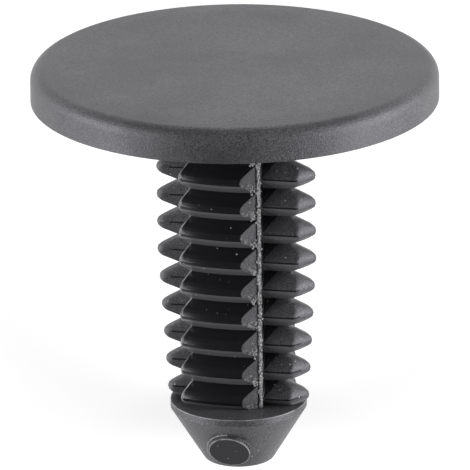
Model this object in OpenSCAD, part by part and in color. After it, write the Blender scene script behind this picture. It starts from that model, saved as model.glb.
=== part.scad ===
// Push-in trim clip: one moulded piece of black nylon with a wide round head,
// a shank of V-section fins and a cone tip. It is built upright about its own
// axis, the head's underside at height 0 and the tip downward, and is then
// laid on its side, where the head's edge and the tip's collar carry it.

/* [Head] */
// Diameter of the round head
head_d = 25; // [20:0.5:32]
// Thickness of the head
head_t = 2.14; // [1.8:0.02:2.6]
// Radius of the rounded upper edge of the head
head_edge_r = 0.8; // [0.4:0.05:1.2]
// Width of the ring inside that edge where the top begins to fall
brim_w = 1.8; // [0.5:0.1:4]
// Fall of the top across that ring
brim_fall = 0.06; // [0.02:0.01:0.12]

/* [Fins] */
// Length of the plain neck from the head to the first groove
neck_len = 3.77; // [2:0.01:6]
// Number of fins along the shank
fin_count = 9; // [5:1:12]
// Distance from one fin to the next
fin_pitch = 1.785; // [1.5:0.005:2.2]
// Length of the oval that the fins fill, across the shank
fin_span = 10; // [8.6:0.02:12]
// Width of that oval
fin_width = 4.98; // [4.4:0.02:5.6]
// Radius of the oval's two ends
fin_end_r = 1.75; // [1.6:0.01:2.1]
// Share of a fin's two flanks that is taken by the upper one
upper_share = 0.56; // [0.4:0.02:0.65]
// The same share on the wings' shallow faces
shallow_share = 0.47; // [0.4:0.01:0.65]
// Number of full-length fins before the span starts to taper
full_fins = 4; // [2:1:5]
// Length that each end loses from one tapered fin to the next
taper_len = 0.11; // [0:0.01:0.15]

/* [Fin ends] */
// Depth of the grooves at the two ends of the oval
end_depth = 1.2; // [0.8:0.02:1.4]
// Height of the crest at the two ends
end_land = 0.5; // [0.3:0.01:0.8]
// Angle by which the bevel on a wing's deep side leans from square to the span
deep_bevel = 40; // [30:1:50]
// Distance of that bevel from the axis
deep_bevel_at = 3.96; // [3.8:0.02:4.2]
// Depth of the grooves in that bevel
deep_bevel_depth = 0.68; // [0.5:0.02:0.9]
// Angle by which the bevel on the shallow side leans the other way
shallow_bevel = 30; // [20:1:40]
// Distance of that bevel from the axis
shallow_bevel_at = 4.26; // [4.1:0.02:4.5]
// Depth of the grooves in that bevel
shallow_bevel_depth = 1.28; // [1:0.02:1.4]

/* [Fin blocks] */
// Depth of the grooves in the curved front and back blocks
block_depth = 0.73; // [0.5:0.01:0.9]
// Height of the crest on the blocks
block_land = 0.45; // [0.2:0.01:0.8]
// Lean of the two cut faces that bound each block
cut_lean = 47; // [35:1:50]
// Where the near cut face meets the shank's middle plane
near_cut = -1.2; // [-1.7:0.05:-1]
// Where the far cut face meets the shank's middle plane
far_cut = 3.34; // [3:0.02:3.6]

/* [Fin wings] */
// Distance of the wing's deep face from the middle plane
wing_front = 1.43; // [1.3:0.01:1.55]
// Depth of the grooves in that face
front_depth = 0.82; // [0.6:0.01:0.9]
// Height of the crest on that face
front_land = 0.1; // [0.06:0.01:0.3]
// Distance of the wing's shallow face from the middle plane
wing_back = 0.34; // [0.3:0.01:0.5]
// Depth of the grooves in that face
back_depth = 0.3; // [0.2:0.01:0.32]
// Height of the crest on that face
back_land = 0.08; // [0.06:0.01:0.3]

/* [Crests] */
// Reach of the rounding on each crest's two corners
crest_round = 0.2; // [0.05:0.01:0.3]

/* [Parting ridge] */
// Width of the ridge along the cut face
ridge_w = 0.24; // [0.1:0.01:0.4]
// Height of the ridge above the cut face
ridge_h = 0.07; // [0.03:0.01:0.15]
// Distance of the ridge from the wing's corner
ridge_inset = 0.2; // [0.15:0.01:0.4]

/* [Tip] */
// Diameter of the collar above the cone
collar_d = 8.42; // [7.6:0.02:9.4]
// Height of the collar
collar_h = 0.42; // [0.2:0.02:0.8]
// Depth by which the last fin sinks into the collar's top
last_fin_sunk = 0.32; // [0.2:0.02:0.6]
// Length of the cone
cone_len = 3.44; // [2.4:0.02:5]
// Diameter of the flat end of the cone
end_d = 4.2; // [3.4:0.1:5]
// Radius of the rounding round the flat end
end_edge_r = 0.35; // [0.1:0.05:0.5]

/* [Round pad on the cone] */
// Diameter of the pad
pad_d = 2.56; // [2:0.02:2.8]
// Height of the pad above the cone
pad_h = 0.22; // [0.1:0.01:0.3]
// Distance from the collar down to the pad's middle
pad_drop = 1.92; // [1.6:0.02:2.2]

/* [Lie] */
// Turn of the clip about its own axis as it lies
roll = 11; // [0:1:45]
// Turn of the head's seam, which sets a facet of its edge level on the ground
head_seam = 2.72; // [0:0.01:3.2]
// Turn of the tip's seam, which sets a corner of the collar's edge lowest
tip_seam = 1.09; // [0:0.01:5.5]

/* [Hidden] */

head_r = head_d / 2;
collar_r = collar_d / 2;
end_r = end_d / 2;

// The oval: two end arcs, and two side arcs that are tangent to them
end_centre = fin_span / 2 - fin_end_r;
half_width = fin_width / 2;
side_r = (pow(end_centre, 2) + pow(half_width, 2) - pow(fin_end_r, 2))
    / (2 * (half_width - fin_end_r));
side_centre = side_r - half_width;

// Where a block's far cut face comes down to the wing's deep face
wing_corner = [far_cut - wing_front * tan(cut_lean), wing_front];

// Heights along the axis, the head's underside at 0
collar_top = -neck_len - fin_count * fin_pitch + last_fin_sunk;
collar_bottom = collar_top - collar_h;
tip_end = collar_bottom - cone_len;
cone_angle = atan((collar_r - end_r) / cone_len);

// Middle of the rounding round the flat end, tangent to the cone and the end
end_edge = [end_r - end_edge_r * tan((90 - cone_angle) / 2), tip_end + end_edge_r];
end_steps = 4;
edge_steps = 8;
brim_steps = 4;

// The top's fall: a wide arc from the flat middle, tangent to the rounded edge
flat_r = head_r - head_edge_r - brim_w;
brim_r = (pow(brim_w, 2) + pow(brim_fall, 2)) / (2 * brim_fall);
brim_angle = asin(brim_w / brim_r);
edge_middle = [head_r - head_edge_r, head_t - brim_fall - head_edge_r * cos(brim_angle)];

// The lie: head edge and collar touch the same plane
lie_angle = atan((head_r - collar_r) / -collar_bottom);
lie_height = head_r * cos(lie_angle);
head_reach = edge_middle[1] * cos(lie_angle) + edge_middle[0] * sin(lie_angle) + head_edge_r;
tip_reach = end_edge[1] * cos(lie_angle) - end_edge[0] * sin(lie_angle) - end_edge_r;
lie_middle = (head_reach + tip_reach) / 2;

nylon = "#2a2b2d";
slack = 1;
plan_reach = half_width + slack;
joint_overlap = 0.2;

function root_z(k) = -neck_len - k * fin_pitch;
function taper(k) = taper_len * max(0, k + 1 - full_fins);

// A corner rounded off, from a point on one side of it to one on the other
function eased(from, corner, to) = [from, (from + 2 * corner + to) / 4, to];

// Section of one fin, from its upper root down to its lower root:
// base is the root's distance from the axis and depth the fin's height
function fin_section(k, base, depth, land, share_up = upper_share) =
    let (
        rise = (fin_pitch - land) * share_up,
        fall = fin_pitch - land - rise,
        upper = [base + depth, root_z(k) - rise],
        lower = upper - [0, land],
        ease = [0, min(crest_round, land / 2.2)],
        share = min(crest_round / depth, 0.4)
    )
    concat(
        [[base, root_z(k)]],
        eased(upper + share * [-depth, rise], upper, upper - ease),
        eased(lower + ease, lower, lower + share * [-depth, -fall])
    );

// Section of all the fins on one face, with the last root
function comb_section(base, depth, land, share_up = upper_share) = [
    for (k = [0 : fin_count - 1]) each fin_section(k, base, depth, land, share_up),
    [base, root_z(fin_count)]
];

function reversed(list) = [for (i = [len(list) - 1 : -1 : 0]) list[i]];

// One end of one fin: cones about the centre of the oval's end arc
module fin_end(k) {
    base = fin_end_r - end_depth;
    translate([end_centre - taper(k), 0, 0])
        rotate_extrude($fn = 40)
            polygon(concat(
                [[0, root_z(k)]],
                fin_section(k, base, end_depth, end_land),
                [[base, root_z(k + 1)], [0, root_z(k + 1)]]
            ));
}

// Everything inside one bevel of one fin's end, which faces the given angle
module behind_bevel(k, angle, crest, depth) {
    top = root_z(k) + (k == 0 ? 0 : joint_overlap);
    translate([-taper(k), 0, 0])
        rotate([90, 0, angle])
            translate([0, 0, -fin_span / 2])
                linear_extrude(height = fin_span)
                    polygon(concat(
                        [[-slack, top], [crest - depth, top]],
                        fin_section(k, crest - depth, depth, end_land),
                        [[crest - depth, root_z(k + 1)], [-slack, root_z(k + 1)]]
                    ));
}

// One fin's whole length, with its rounded and bevelled end
module fin_length(k) {
    intersection() {
        union() {
            fin_end(k);
            translate([0, -plan_reach, root_z(k + 1)])
                cube([end_centre - taper(k), 2 * plan_reach, fin_pitch + joint_overlap]);
        }
        behind_bevel(k, deep_bevel, deep_bevel_at, deep_bevel_depth);
        behind_bevel(k, -shallow_bevel, shallow_bevel_at, shallow_bevel_depth);
    }
}

// A wing's two toothed faces, as one bar that runs out from the axis
module wing_bar() {
    front = comb_section(wing_front - front_depth, front_depth, front_land);
    back = comb_section(wing_back - back_depth, back_depth, back_land, shallow_share);
    rotate([90, 0, 90])
        linear_extrude(height = fin_span / 2 + slack)
            polygon(concat(front, [for (p = reversed(back)) [-p[0], p[1]]]));
}

module wing() {
    intersection() {
        wing_bar();
        union() {
            for (k = [0 : fin_count - 1]) fin_length(k);
        }
    }
}

// Plan of the slice between a block's two leaning cut faces
module block_plan() {
    lean = plan_reach * tan(cut_lean);
    polygon([
        [near_cut, 0],
        [wing_corner[0], 0],
        wing_corner,
        [far_cut - lean, plan_reach],
        [near_cut - lean, plan_reach]
    ]);
}

module block() {
    intersection() {
        translate([0, 0, root_z(fin_count)])
            linear_extrude(height = fin_count * fin_pitch)
                block_plan();
        translate([0, -side_centre, 0])
            rotate_extrude($fn = 120)
                polygon(concat(
                    [[0, root_z(0)]],
                    comb_section(side_r - block_depth, block_depth, block_land),
                    [[0, root_z(fin_count)]]
                ));
    }
}

// Thin line left standing where the mould's parts met
module parting_ridge() {
    translate([wing_corner[0], wing_corner[1], collar_top - slack / 2])
        rotate(90 + cut_lean)
            translate([ridge_inset - ridge_w / 2, -ridge_h, 0])
                cube([ridge_w, 2 * ridge_h, -collar_top - neck_len + slack]);
}

// Half of the shank: the other half is this one turned by 180 degrees
module shank_half() {
    wing();
    block();
    parting_ridge();
    neck_half();
}

// Section of a wing at its roots
module wing_root_plan() {
    thickness = wing_front - front_depth + wing_back - back_depth;
    intersection() {
        translate([0, back_depth - wing_back])
            square([fin_span, thickness]);
        union() {
            translate([end_centre, 0])
                circle(fin_end_r - end_depth, $fn = 40);
            translate([0, -plan_reach])
                square([end_centre, 2 * plan_reach]);
        }
        rotate(deep_bevel)
            translate([-slack, -fin_span])
                square([slack + deep_bevel_at - deep_bevel_depth, 2 * fin_span]);
        rotate(-shallow_bevel)
            translate([-slack, -fin_span])
                square([slack + shallow_bevel_at - shallow_bevel_depth, 2 * fin_span]);
    }
}

// Plain part of the shank, from inside the head down into the first fin
module neck_half() {
    translate([0, 0, root_z(0) - joint_overlap])
        linear_extrude(height = neck_len + 2 * joint_overlap)
            union() {
                wing_root_plan();
                intersection() {
                    block_plan();
                    translate([0, -side_centre])
                        circle(side_r - block_depth, $fn = 120);
                }
            }
}

module shank() {
    mirror([0, 1, 0]) {
        shank_half();
        rotate(180) shank_half();
    }
}

module head() {
    rotate(head_seam)
        rotate_extrude($fn = 144)
            polygon(concat(
                [[0, 0], [head_r, 0]],
                [for (i = [0 : edge_steps]) let (a = i / edge_steps * (90 - brim_angle))
                    edge_middle + head_edge_r * [cos(a), sin(a)]
                ],
                [for (i = [1 : brim_steps]) let (a = brim_angle * (1 - i / brim_steps))
                    [flat_r + brim_r * sin(a), head_t - brim_r * (1 - cos(a))]
                ],
                [[0, head_t]]
            ));
}

module cone_tip() {
    rotate(tip_seam)
        rotate_extrude($fn = 96)
            polygon(concat(
                [[0, collar_top], [collar_r, collar_top], [collar_r, collar_bottom]],
                [for (i = [0 : end_steps]) let (a = -cone_angle - i / end_steps * (90 - cone_angle))
                    end_edge + end_edge_r * [cos(a), sin(a)]
                ],
                [[0, tip_end]]
            ));
}

// Flat round pad, square to the cone's surface and trimmed at the flat end
module pad() {
    middle_r = collar_r - pad_drop * tan(cone_angle);
    intersection() {
        translate([0, -middle_r, collar_bottom - pad_drop])
            rotate([90 + cone_angle, 0, 0])
                translate([0, 0, -slack])
                    cylinder(h = slack + pad_h, d = pad_d, $fn = 64);
        translate([0, 0, tip_end])
            cylinder(h = cone_len, r = collar_r, $fn = 120);
    }
}

module trim_clip() {
    color(nylon)
        translate([0, -lie_middle, lie_height])
            rotate([lie_angle - 90, 0, 0])
                rotate([0, 0, -roll])
                    union() {
                        head();
                        shank();
                        cone_tip();
                        pad();
                    }
}

trim_clip();
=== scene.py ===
"""Looks of a push-in trim clip, one moulding of black nylon that lies on its side.

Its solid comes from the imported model. Lengths are in metres, or in millimetres
where a name is one of the moulding's sizes.
"""

import math
import random

import bmesh
import bpy
from mathutils import Matrix, Vector


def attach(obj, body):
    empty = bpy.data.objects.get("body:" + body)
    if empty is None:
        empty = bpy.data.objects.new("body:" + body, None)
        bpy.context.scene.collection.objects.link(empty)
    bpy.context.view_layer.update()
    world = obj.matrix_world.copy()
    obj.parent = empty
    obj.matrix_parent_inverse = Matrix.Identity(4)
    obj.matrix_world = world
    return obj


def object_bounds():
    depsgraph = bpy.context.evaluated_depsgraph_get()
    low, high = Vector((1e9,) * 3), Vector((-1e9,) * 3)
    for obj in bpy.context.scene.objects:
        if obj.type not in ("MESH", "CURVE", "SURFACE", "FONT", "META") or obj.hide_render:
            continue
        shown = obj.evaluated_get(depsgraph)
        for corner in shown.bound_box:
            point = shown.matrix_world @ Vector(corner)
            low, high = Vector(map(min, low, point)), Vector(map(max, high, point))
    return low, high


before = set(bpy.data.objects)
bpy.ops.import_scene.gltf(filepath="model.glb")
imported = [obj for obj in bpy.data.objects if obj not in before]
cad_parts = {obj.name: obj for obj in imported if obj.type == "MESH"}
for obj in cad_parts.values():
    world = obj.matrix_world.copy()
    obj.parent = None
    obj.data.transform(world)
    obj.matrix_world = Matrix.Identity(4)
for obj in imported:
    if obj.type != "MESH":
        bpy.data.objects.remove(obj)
cad_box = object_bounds()
MM = 0.001

# Sizes of the moulding in mm, as in its source
HEAD_R = 12.5
HEAD_T = 2.14
HEAD_EDGE_R = 0.8
BRIM_W = 1.8
BRIM_FALL = 0.06
NECK_LEN = 3.77
FINS = 9
FIN_PITCH = 1.785
LAST_FIN_CUT = 0.32
COLLAR_T = 0.42
COLLAR_TOP = NECK_LEN + FINS * FIN_PITCH - LAST_FIN_CUT
COLLAR_LOW = COLLAR_TOP + COLLAR_T
COLLAR_R = 4.21
CONE_LEN = 3.44
END_R = 2.1
CUT_SLOPE = math.tan(math.radians(47))
NEAR_CUT = -1.2
FAR_CUT = 3.34
WING_FRONT = 1.43
PAD_R = 1.28
PAD_OUT = 3.03
PAD_DROP = 1.92
PAD_MIDDLE = (0, -PAD_OUT, -COLLAR_LOW - PAD_DROP)

# Crests of the wings: height above the groove and half the width, in pitches, and
# their reach from the middle, in mm
DEEP_CREST, DEEP_LINE = 0.443, 0.03
SHALLOW_CREST, SHALLOW_LINE = 0.528, 0.028
CREST_REACH = 4.1

# Margins in mm that keep one finish off the face beside it
HAIR = 0.01
GAP = 0.02
CUT_SKIN = 0.05

# How it lies: its axis rises towards the head, and it is rolled about that axis
LIE = math.atan((HEAD_R - COLLAR_R) / COLLAR_LOW)
ROLL = math.radians(11)

NYLON_IOR = 1.53


def underside_middle():
    """Middle of the head's underside, found from the head's furthest reach."""
    brim_angle = 2 * math.atan(BRIM_FALL / BRIM_W)
    up_axis = HEAD_T - BRIM_FALL - HEAD_EDGE_R * math.cos(brim_angle)
    across = HEAD_R - HEAD_EDGE_R
    reach = up_axis * math.cos(LIE) + across * math.sin(LIE) + HEAD_EDGE_R
    return Vector((0, cad_box[1].y - reach * MM, HEAD_R * math.cos(LIE) * MM))


def stand_to_lie(size):
    """Turn from the clip's own upright axes to how it lies, as a square matrix."""
    tip_over = Matrix.Rotation(LIE - math.pi / 2, size, "X")
    return tip_over @ Matrix.Rotation(-ROLL, size, "Z")


def linear(hex_code):
    """An sRGB hex colour as the linear colour that a shader takes."""
    parts = [int(hex_code[i:i + 2], 16) / 255 for i in (1, 3, 5)]
    return tuple(c / 12.92 if c <= 0.04045 else ((c + 0.055) / 1.055) ** 2.4
                 for c in parts) + (1.0,)


def add(tree, kind, inputs=None, **settings):
    """Adds a node. Each input, by name or number, takes a wire, a node or a value."""
    node = tree.nodes.new("ShaderNode" + kind)
    for name, value in settings.items():
        setattr(node, name, value)
    for name, value in (inputs or {}).items():
        if isinstance(value, bpy.types.Node):
            value = value.outputs[0]
        if isinstance(value, bpy.types.NodeSocket):
            tree.links.new(value, node.inputs[name])
        else:
            node.inputs[name].default_value = value
    return node


def new_material(name):
    """An empty material, and the tree for its nodes."""
    material = bpy.data.materials.new(name)
    material.use_nodes = True
    material.node_tree.nodes.clear()
    return material, material.node_tree


def clip_zones(tree, own):
    """Masks of the mould's finishes, each 1 on its own faces and 0 elsewhere."""
    x, y, z = add(tree, "SeparateXYZ", {0: own}).outputs

    # The far half of the shank is the near half turned by half a turn
    side = add(tree, "Math", {0: y}, operation="SIGN")
    near_x = add(tree, "Math", {0: x, 1: side}, operation="MULTIPLY")
    near_y = add(tree, "Math", {0: y}, operation="ABSOLUTE")
    lean = add(tree, "Math", {0: near_y, 1: CUT_SLOPE}, operation="MULTIPLY")
    across = add(tree, "Math", {0: lean, 1: near_x}, operation="SUBTRACT")

    below_head = add(tree, "Math", {0: z, 1: -HAIR}, operation="LESS_THAN")
    above_tip = add(tree, "Math", {0: z, 1: -COLLAR_TOP + HAIR},
                    operation="GREATER_THAN")
    on_tip = add(tree, "Math", {0: z, 1: -COLLAR_TOP + HAIR}, operation="LESS_THAN")
    on_shank = add(tree, "Math", {0: below_head, 1: above_tip}, operation="MULTIPLY")

    # Polished steel: the curved fronts of the fins, between the two cuts, and the pad
    after_near = add(tree, "Math", {0: across, 1: NEAR_CUT + GAP},
                     operation="GREATER_THAN")
    before_far = add(tree, "Math", {0: across, 1: FAR_CUT - GAP},
                     operation="LESS_THAN")
    fronts = add(tree, "Math", {0: after_near, 1: before_far}, operation="MULTIPLY")
    fronts = add(tree, "Math", {0: fronts, 1: on_shank}, operation="MULTIPLY")
    from_pad = add(tree, "VectorMath", {0: own, 1: PAD_MIDDLE}, operation="DISTANCE")
    pad = add(tree, "Math", {0: from_pad.outputs["Value"], 1: PAD_R},
              operation="LESS_THAN")
    polished = add(tree, "Math", {0: fronts, 1: pad}, operation="MAXIMUM")

    # Torn skin: the thin ridge that stands proud of the far cut
    past_cut = add(tree, "Math", {0: across, 1: FAR_CUT + GAP},
                   operation="GREATER_THAN")
    past_wing = add(tree, "Math", {0: near_y, 1: WING_FRONT + HAIR},
                    operation="GREATER_THAN")
    ridge = add(tree, "Math", {0: past_cut, 1: past_wing}, operation="MULTIPLY")
    ridge = add(tree, "Math", {0: ridge, 1: on_shank}, operation="MULTIPLY")

    # Torn valleys: from each groove up to the crest, on the face beside the ridge
    torn_to, fades_to = 0.3, 0.42
    in_pitch = add(tree, "Math", {0: z, 1: NECK_LEN}, operation="ADD")
    in_pitch = add(tree, "Math", {0: in_pitch, 1: FIN_PITCH}, operation="DIVIDE")
    in_pitch = add(tree, "Math", {0: in_pitch}, operation="FRACT")
    low_half = add(tree, "MapRange",
                   {"Value": in_pitch, "From Min": fades_to, "From Max": torn_to})
    cut_face = add(tree, "Math", {0: across, 1: FAR_CUT, 2: CUT_SKIN},
                   operation="COMPARE")
    cut_face = add(tree, "Math", {0: cut_face, 1: on_shank}, operation="MULTIPLY")
    valley = add(tree, "Math", {0: cut_face, 1: low_half}, operation="MULTIPLY")
    torn = add(tree, "Math", {0: ridge, 1: valley}, operation="MAXIMUM")

    # Sharp crests of the wings, which differ in height on the two sides of a fin
    deep = add(tree, "Math", {0: in_pitch, 1: DEEP_CREST, 2: DEEP_LINE},
               operation="COMPARE")
    deep_side = add(tree, "Math", {0: across, 1: FAR_CUT + 2 * CUT_SKIN},
                    operation="GREATER_THAN")
    deep = add(tree, "Math", {0: deep, 1: deep_side}, operation="MULTIPLY")
    shallow = add(tree, "Math", {0: in_pitch, 1: SHALLOW_CREST, 2: SHALLOW_LINE},
                  operation="COMPARE")
    shallow_side = add(tree, "Math", {0: across, 1: NEAR_CUT - CUT_SKIN},
                       operation="LESS_THAN")
    shallow = add(tree, "Math", {0: shallow, 1: shallow_side}, operation="MULTIPLY")
    crests = add(tree, "Math", {0: deep, 1: shallow}, operation="MAXIMUM")
    from_middle = add(tree, "Math", {0: x}, operation="ABSOLUTE")
    short_of_end = add(tree, "Math", {0: from_middle, 1: CREST_REACH},
                       operation="LESS_THAN")
    crests = add(tree, "Math", {0: crests, 1: short_of_end}, operation="MULTIPLY")
    crests = add(tree, "Math", {0: crests, 1: on_shank}, operation="MULTIPLY")

    return {"below_head": below_head, "on_tip": on_tip, "on_shank": on_shank,
            "fronts": fronts, "pad": pad, "polished": polished, "torn": torn,
            "cut_face": cut_face, "crests": crests, "from_middle": from_middle}


def moulded_surface(tree, zone, pits):
    """Normal of the moulded skin: pitted by the steel, its corners a little round."""
    corner_r, wing_end_r = 0.05 * MM, 0.45 * MM
    wing_flat_to, wing_round_from = 2.6, 3.5
    pit_deep = 0.035 * MM
    strength = add(tree, "MapRange",
                   {"Value": zone["polished"], "To Min": 0.8, "To Max": 0.08})
    strength = add(tree, "Math", {0: strength, 1: zone["torn"]}, operation="ADD")
    radius = add(tree, "MapRange",
                 {"Value": zone["from_middle"], "From Min": wing_flat_to,
                  "From Max": wing_round_from, "To Min": corner_r,
                  "To Max": wing_end_r})
    radius = add(tree, "Math", {0: radius, 1: zone["on_shank"]}, operation="MULTIPLY")
    radius = add(tree, "Math", {0: radius, 1: corner_r}, operation="MAXIMUM")
    rounded = add(tree, "Bevel", {"Radius": radius}, samples=6)
    return add(tree, "Bump", {"Height": pits, "Strength": strength,
                              "Distance": pit_deep, "Normal": rounded})


def painted_corner_glints(tree, zone, own):
    """Painted highlights: thin pale corners of the fins' fronts and of the tip."""
    corner_w, patch_w = 0.1 * MM, 0.625
    thin = add(tree, "AmbientOcclusion", {"Distance": corner_w}, samples=8,
               inside=True, only_local=True)
    thin = add(tree, "MapRange",
               {"Value": thin.outputs["AO"], "From Min": 0.84, "From Max": 0.6})
    patches = add(tree, "TexNoise",
                  {"Vector": own, "Scale": 1 / patch_w, "Detail": 3.0})
    patches = add(tree, "MapRange",
                  {"Value": patches, "From Min": 0.3, "From Max": 0.6})
    corner_glints = add(tree, "Math", {0: thin, 1: patches}, operation="MULTIPLY")
    place = add(tree, "Math", {0: zone["fronts"], 1: zone["on_tip"]},
                operation="MAXIMUM")
    return add(tree, "Math", {0: corner_glints, 1: place}, operation="MULTIPLY")


def painted_underside_light(tree, zone, normal):
    """Painted light: the flanks that face the tip, lightened as if lit from below."""
    axis = (0, math.cos(LIE), math.sin(LIE))
    facing = add(tree, "VectorMath", {0: normal, 1: axis}, operation="DOT_PRODUCT")
    underside_light = add(tree, "MapRange", {"Value": facing.outputs["Value"],
                                  "From Min": -0.3, "From Max": -0.6})
    return add(tree, "Math", {0: underside_light, 1: zone["on_shank"]}, operation="MULTIPLY")


def chalky_grains(tree, zone, own):
    """Pale grains that cover the torn skin."""
    grain_w = 1 / 6
    grains = add(tree, "TexVoronoi", {"Vector": own, "Scale": 1 / grain_w})
    chalk = add(tree, "MapRange", {"Value": grains.outputs["Distance"],
                                   "From Min": 0.55, "From Max": 0.15})
    return add(tree, "Math", {0: chalk, 1: zone["torn"]}, operation="MULTIPLY")


def dust_specks(tree, zone, own):
    """Sparse pale specks below the head, each longer than it is wide."""
    cell_w, cell_len = 1 / 3.4, 1 / 2.2
    few, fewer = 0.68, 0.84
    stretched = add(tree, "Mapping", {"Vector": own, "Rotation": (0.4, 0.9, 0.3),
                                      "Scale": (1 / cell_w, 1 / cell_len, 1 / cell_w)})
    dust = add(tree, "TexVoronoi", {"Vector": stretched, "Scale": 1.0})
    chance = add(tree, "SeparateColor", {0: dust.outputs["Color"]})
    size = add(tree, "MapRange", {"Value": chance.outputs["Green"],
                                  "To Min": 0.06, "To Max": 0.2})
    speck = add(tree, "Math", {0: size, 1: dust.outputs["Distance"]},
                operation="SUBTRACT")
    speck = add(tree, "MapRange", {"Value": speck, "From Max": 0.08})
    rarity = add(tree, "MapRange", {"Value": zone["fronts"], "To Min": few,
                                    "To Max": fewer})
    kept = add(tree, "Math", {0: chance, 1: rarity}, operation="GREATER_THAN")
    speck = add(tree, "Math", {0: speck, 1: kept}, operation="MULTIPLY")
    return add(tree, "Math", {0: speck, 1: zone["below_head"]}, operation="MULTIPLY")


def grey_bloom(tree, zone, own, pits):
    """Soft grey that the pits give, stronger and weaker in smudges from handling."""
    smudge_w = 4.55
    bloom = add(tree, "MapRange", {"Value": pits, "From Min": 0.3, "From Max": 0.75})
    smudges = add(tree, "TexNoise",
                  {"Vector": own, "Scale": 1 / smudge_w, "Detail": 2.0})
    smudges = add(tree, "MapRange", {"Value": smudges, "From Min": 0.3,
                                     "From Max": 0.7, "To Min": 0.6, "To Max": 1.3})
    bloom = add(tree, "Math", {0: bloom, 1: smudges}, operation="MULTIPLY")
    pitted = add(tree, "Math", {0: 1.0, 1: zone["polished"]}, operation="SUBTRACT")
    return add(tree, "Math", {0: bloom, 1: pitted}, operation="MULTIPLY",
               use_clamp=True)


def black_moulded_nylon():
    """Nylon 66, injection moulded in steel that was spark-eroded, then part polished.

    The pitted faces spread the light into an even dark grey with no reflections.
    The polished fronts of the fins stay near black, with painted highlights on their thin
    corners.
    """
    material, tree = new_material("black_moulded_nylon")
    coords = add(tree, "TexCoord")

    # The clip's own axes in mm: z runs up its axis from the head's underside
    own = add(tree, "Mapping",
              {"Vector": coords.outputs["Object"], "Location": underside_middle(),
               "Rotation": stand_to_lie(3).to_euler(), "Scale": (MM, MM, MM)},
              vector_type="TEXTURE")
    zone = clip_zones(tree, own)

    # Real spark pits are about 0.03 mm wide, too fine to show: drawn 3 times as wide
    pit_w = 1 / 11
    pits = add(tree, "TexNoise", {"Vector": own, "Scale": 1 / pit_w, "Detail": 3.0,
                                  "Roughness": 0.6})
    skin_normal = moulded_surface(tree, zone, pits)
    roughness = add(tree, "MapRange",
                    {"Value": zone["polished"], "To Min": 0.44, "To Max": 0.2})

    # Dark skin, greyed by its pits, with painted light and painted shade on the shank
    bloom = grey_bloom(tree, zone, own, pits)
    underside_light = painted_underside_light(tree, zone, coords.outputs["Normal"])
    skin = add(tree, "MixRGB", {"Fac": bloom, "Color1": linear("#121215"),
                                "Color2": linear("#5f5f62")})
    # Painted light: flanks that face the tip are lightened as if lit from below
    skin = add(tree, "MixRGB", {"Fac": underside_light, "Color1": skin,
                                "Color2": linear("#5c5c5e")})
    # Painted shade: the crest lines are darkened to near black
    skin = add(tree, "MixRGB", {"Fac": zone["crests"], "Color1": skin,
                                "Color2": linear("#0c0c0d")})

    # Pale marks on it: painted highlights on corners, chalk on the torn skin, and dust
    corner_glints = add(tree, "Math", {0: painted_corner_glints(tree, zone, own), 1: 0.85},
                 operation="MULTIPLY")
    chalk = add(tree, "Math", {0: chalky_grains(tree, zone, own), 1: 0.45},
                operation="MULTIPLY")
    dust = add(tree, "Math", {0: dust_specks(tree, zone, own), 1: 0.8},
               operation="MULTIPLY")
    pale = add(tree, "Math", {0: corner_glints, 1: chalk}, operation="MAXIMUM")
    pale = add(tree, "Math", {0: pale, 1: dust}, operation="MAXIMUM")
    colour = add(tree, "MixRGB", {"Fac": pale, "Color1": skin,
                                  "Color2": linear("#b4b4b4")})

    # Less shine on the cut faces, the pad and the crests, which the light misses
    shineless = add(tree, "Math", {0: zone["cut_face"], 1: zone["pad"]},
                    operation="MAXIMUM")
    shineless = add(tree, "Math", {0: shineless, 1: zone["crests"]},
                    operation="MAXIMUM")
    shine = add(tree, "MapRange", {"Value": shineless, "To Min": 0.5, "To Max": 0.2})

    shader = add(tree, "BsdfPrincipled",
                 {"Base Color": colour, "Roughness": roughness, "IOR": NYLON_IOR,
                  "Specular IOR Level": shine, "Specular Tint": linear("#f9f8ff"),
                  "Normal": skin_normal})
    add(tree, "OutputMaterial", {"Surface": shader})
    return material


def chalky_torn_nylon():
    """Nylon 66 torn where the mould's parts met, which stress turns pale and matt.

    It gives the eye light grey crumbs with no shine against the dark moulding.
    """
    material, tree = new_material("chalky_torn_nylon")
    shader = add(tree, "BsdfPrincipled", {"Base Color": linear("#979797"),
                                          "Roughness": 0.6, "IOR": NYLON_IOR})
    add(tree, "OutputMaterial", {"Surface": shader})
    return material


def white_card():
    """Matt white card, lifted to the photograph's white where it is seen or mirrored.

    The lift is half of white, so that the clip's soft shadow still shows on it.
    """
    lift = 0.5
    material, tree = new_material("white_card")
    path = add(tree, "LightPath")
    mirrored = add(tree, "Math", {0: path.outputs["Is Glossy Ray"],
                                  1: path.outputs["Is Transmission Ray"]})
    seen = add(tree, "Math", {0: path.outputs["Is Camera Ray"], 1: mirrored})
    glow = add(tree, "Math", {0: seen, 1: lift}, operation="MULTIPLY")
    shader = add(tree, "BsdfPrincipled",
                 {"Base Color": linear("#e6e6e6"), "Roughness": 0.9,
                  "Emission Color": linear("#ffffff"), "Emission Strength": glow})
    add(tree, "OutputMaterial", {"Surface": shader})
    return material


def lay_floor():
    """A plain floor, 6 m square, under the clip."""
    half = 3.0
    mesh = bpy.data.meshes.new("floor")
    mesh.from_pydata([(-half, -half, 0), (half, -half, 0), (half, half, 0),
                      (-half, half, 0)], [], [(0, 1, 2, 3)])
    floor = bpy.data.objects.new("floor", mesh)
    bpy.context.scene.collection.objects.link(floor)
    mesh.materials.append(white_card())


def hang_softbox(name, place, power):
    """A wide low softbox at place, in metres, that faces the clip."""
    width, height = 0.6, 0.25
    aim = Vector((0, 0, 0.01))
    data = bpy.data.lights.new(name, "AREA")
    data.shape = "RECTANGLE"
    data.size, data.size_y, data.energy = width, height, power
    lamp = bpy.data.objects.new(name, data)
    lamp.location = place
    lamp.rotation_euler = (aim - Vector(place)).to_track_quat("-Z", "Y").to_euler()
    bpy.context.scene.collection.objects.link(lamp)


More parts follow.
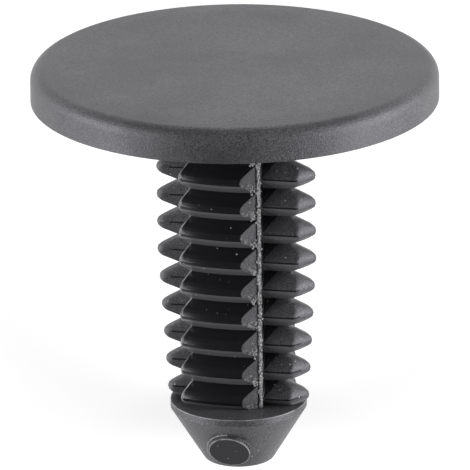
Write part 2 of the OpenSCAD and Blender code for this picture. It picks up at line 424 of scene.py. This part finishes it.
def light_studio():
    """Softboxes at the clip's sides, the right one a little brighter, and a fill."""
    away, high = 0.5, 0.15
    fill = 0.12
    world = bpy.data.worlds.new("studio")
    world.use_nodes = True
    background = world.node_tree.nodes["Background"]
    background.inputs["Color"].default_value = linear("#ffffff")
    background.inputs["Strength"].default_value = fill
    bpy.context.scene.world = world
    hang_softbox("left_softbox", (-away, 0, high), power=4.4)
    hang_softbox("right_softbox", (away, 0, high), power=4.9)


def place_camera():
    """Looks down on the lying clip, as the photograph sees it, from far off."""
    px_per_mm = 16.355
    seen_above = math.radians(19.35)
    tilted = math.radians(0.736)
    spot_px = (234.85, 97.3)
    half_frame = 235
    distance = 0.8
    tilt = LIE - seen_above
    away = Vector((0, math.sin(tilt), -math.cos(tilt)))
    up = Vector((0, math.cos(tilt), math.sin(tilt)))
    right = Vector((1, 0, 0))
    across = right * math.cos(tilted) - up * math.sin(tilted)
    upward = up * math.cos(tilted) + right * math.sin(tilted)
    spot_across = (half_frame - spot_px[0]) / px_per_mm * MM
    spot_down = (half_frame - spot_px[1]) / px_per_mm * MM
    middle = underside_middle() + across * spot_across - upward * spot_down
    data = bpy.data.cameras.new("camera")
    data.sensor_width = 36
    data.lens = distance * data.sensor_width / (2 * half_frame / px_per_mm * MM)
    data.clip_end = 10
    camera = bpy.data.objects.new("camera", data)
    camera.location = middle - away * distance
    camera.rotation_euler = Matrix((across, upward, -away)).transposed().to_euler()
    bpy.context.scene.collection.objects.link(camera)
    bpy.context.scene.camera = camera


def finish_clip():
    """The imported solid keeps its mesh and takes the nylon."""
    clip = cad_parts["trim_clip"]
    nylon = black_moulded_nylon()
    for slot in clip.material_slots:
        slot.material = nylon


def along_far_cut(out, proud, drop):
    """A place by the far cut in mm: out from the wing, proud of it, below the head."""
    lean = math.atan(CUT_SLOPE)
    corner = Vector((FAR_CUT - WING_FRONT * CUT_SLOPE, -WING_FRONT, 0))
    along_cut = Vector((-math.sin(lean), -math.cos(lean), 0))
    off_cut = Vector((math.cos(lean), -math.sin(lean), 0))
    return corner + along_cut * out + off_cut * proud - Vector((0, 0, drop))


def ridge_crumbs(chance):
    """Crumbs along the whole ridge. Each kind gives a place and a radius in mm."""
    count = 330
    ridge_middle, spread, proud = 0.2, 0.07, 0.05
    above_first_groove, short_of_last = 0.6, 0.3
    for number in range(count):
        drop = NECK_LEN + chance.uniform(-above_first_groove,
                                         FINS * FIN_PITCH - short_of_last)
        out = ridge_middle + chance.gauss(0, spread)
        yield along_far_cut(out, proud, drop), chance.uniform(0.04, 0.11)


def valley_crumbs(chance):
    """Crumbs just above each groove, on the cut face beside the ridge."""
    count_a_fin = 26
    lowest, highest, most_at = -0.05, 0.36, 0.1
    nearest, furthest = 0.05, 0.75
    for fin in range(FINS):
        for number in range(count_a_fin):
            up_pitch = chance.triangular(lowest, highest, most_at)
            out = chance.uniform(nearest, furthest)
            place = along_far_cut(out, 0, NECK_LEN + (fin - up_pitch) * FIN_PITCH)
            yield place, chance.uniform(0.03, 0.085)


def collar_crumbs(chance):
    """Crumbs on the front left of the collar's lower edge."""
    count = 46
    from_angle, to_angle = 185, 262
    sunk, spread = 0.02, 0.03
    for number in range(count):
        angle = math.radians(chance.uniform(from_angle, to_angle))
        rim = Vector((math.cos(angle), math.sin(angle), 0)) * (COLLAR_R - sunk)
        drop = COLLAR_LOW - sunk + chance.gauss(0, spread)
        yield rim - Vector((0, 0, drop)), chance.uniform(0.02, 0.05)


def pad_crumbs(chance):
    """Crumbs round the pad's left half, on the cone."""
    count = 90
    first_angle, step, spread = 92, 1.5, 0.5
    beyond_pad = 0.12
    slope = math.atan((COLLAR_R - END_R) / CONE_LEN)
    up_cone = Vector((0, -math.sin(slope), math.cos(slope)))
    for number in range(count):
        angle = math.radians(first_angle + step * number + chance.gauss(0, spread))
        rim = Vector((math.cos(angle), 0, 0)) + up_cone * math.sin(angle)
        place = Vector(PAD_MIDDLE) + rim * (PAD_R + beyond_pad)
        yield place, chance.uniform(0.03, 0.06)


def torn_crumbs():
    """Crumbs of torn skin where the mould's parts met, each a small squashed lump."""
    chance = random.Random(7)
    kinds = (ridge_crumbs, valley_crumbs, collar_crumbs, pad_crumbs)
    crumbs = [crumb for kind in kinds for crumb in kind(chance)]
    own = (Matrix.Translation(underside_middle()) @ stand_to_lie(4)
           @ Matrix.Scale(MM, 4))
    shape = bmesh.new()
    for place, radius in crumbs:
        sizes = [radius * chance.uniform(0.6, 1.2) for axis in range(3)]
        squash = Matrix.Diagonal(sizes).to_4x4()
        lump = own @ Matrix.Translation(place) @ squash
        bmesh.ops.create_icosphere(shape, subdivisions=1, radius=1, matrix=lump)
    mesh = bpy.data.meshes.new("torn_crumbs")
    shape.to_mesh(mesh)
    shape.free()
    mesh.materials.append(chalky_torn_nylon())
    piece = bpy.data.objects.new("torn_crumbs", mesh)
    bpy.context.scene.collection.objects.link(piece)
    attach(piece, "root")


lay_floor()
light_studio()
place_camera()
finish_clip()
torn_crumbs()
bpy.context.scene.view_settings.view_transform = "Standard"
